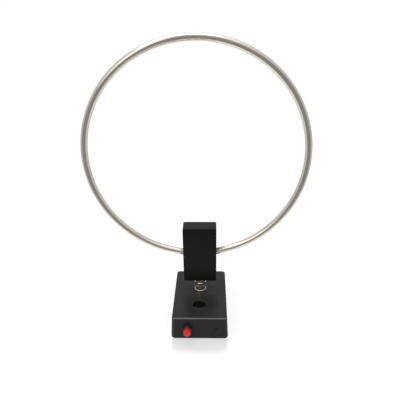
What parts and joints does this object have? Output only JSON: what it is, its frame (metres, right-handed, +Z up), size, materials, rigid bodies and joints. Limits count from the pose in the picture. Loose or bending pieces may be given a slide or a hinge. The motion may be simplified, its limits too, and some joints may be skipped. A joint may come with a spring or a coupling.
{
  "type": "desktop loop antenna",
  "caption": "Desktop active loop antenna: steel hoop in a small black head box, plugged by a bayonet coupling into a low black base with a red push button.",
  "frame": {"origin": "centre of the base's underside, where its rubber pad meets the table", "axes": "+X to the right of someone facing the button, +Y to the back, +Z up along the bayonet coupling"},
  "size_m": [0.2579, 0.12, 0.337],
  "materials": {
    "black_abs": "satin, fine moulded grain",
    "head_abs": "satin, fine moulded grain",
    "black_rubber": "matt",
    "hoop_steel": "satin drawn tube",
    "nickel": "bright nickel plate, a little worn",
    "zinc_steel": "zinc-plated",
    "gold_plate": "gold plated",
    "ptfe": "waxy white",
    "board_green": "solder mask",
    "chip_black": "matt",
    "ferrite": "matt",
    "winding_copper": "enamelled copper",
    "cell_foil": "satin foil",
    "tape": "foam",
    "badge_gloss": "domed gloss",
    "button_red": "gloss",
    "switch_black": "satin",
    "spring_steel": "bright wire",
    "lamp_lens": "dark lens"
  },
  "bodies": {
    "base": {"base_shell": "black_abs", "bottom_plate": "black_abs", "rubber_pad": "black_rubber", "plate_screws": "zinc_steel", "badge": "badge_gloss", "main_board": "board_green", "board_screws": "zinc_steel", "board_parts": "chip_black", "battery_cell": "cell_foil", "battery_tape": "tape", "usb_socket": "nickel", "usb_tongue": "chip_black", "switch_body": "switch_black", "switch_nut": "nickel", "switch_terminals": "nickel", "power_lamp": "lamp_lens", "lamp_leads": "zinc_steel", "button_spring": "spring_steel", "head_jack_body": "nickel", "head_jack_insulator": "ptfe", "head_jack_contact": "gold_plate", "head_jack_lock_washer": "zinc_steel", "head_jack_nut": "nickel", "output_jack_body": "nickel", "output_jack_insulator": "ptfe", "output_jack_contact": "gold_plate", "output_jack_lock_washer": "zinc_steel", "output_jack_nut": "nickel"},
    "button": {"power_button": "button_red", "button_stem": "nickel"},
    "plug_carriage": {"wave_washer": "spring_steel"},
    "coupling_ring": {"coupling_nut": "nickel"},
    "head": {"plug_gasket": "black_rubber", "plug_body": "nickel", "plug_insulator": "ptfe", "plug_pin": "gold_plate", "plug_collar": "nickel", "plug_washer": "zinc_steel", "plug_nut": "nickel", "head_shell": "head_abs", "head_cover": "head_abs", "head_screws": "zinc_steel", "loop_tube": "hoop_steel", "loop_clamps": "zinc_steel", "clamp_screws": "zinc_steel", "amplifier_board": "board_green", "amplifier_screws": "zinc_steel", "amplifier_chips": "chip_black", "transformer_core": "ferrite", "transformer_winding": "winding_copper"}
  },
  "joints": [
    {"name": "plug_rise", "type": "slide", "parent": "base", "child": "plug_carriage", "axis": [0, 0, 1], "range_m": [0, 0.002]},
    {"name": "nut_turn", "type": "hinge", "parent": "plug_carriage", "child": "coupling_ring", "pos_m": [0, 0.009, 0.037], "axis": [0, 0, 1], "range_deg": [0, 75]},
    {"name": "loop_swivel", "type": "hinge", "parent": "plug_carriage", "child": "head", "pos_m": [0, 0.009, 0.0425], "axis": [0, 0, 1], "continuous": true},
    {"name": "button_press", "type": "slide", "parent": "base", "child": "button", "axis": [0, 1, 0], "range_m": [0, 0.0025], "stiffness_N_per_m": 800, "springref_m": -0.002, "deforming": ["button_spring"]}
  ],
  "couplings": [
    {"joint": "nut_turn", "follows": "plug_rise", "rad_per_m": 654.49}
  ]
}
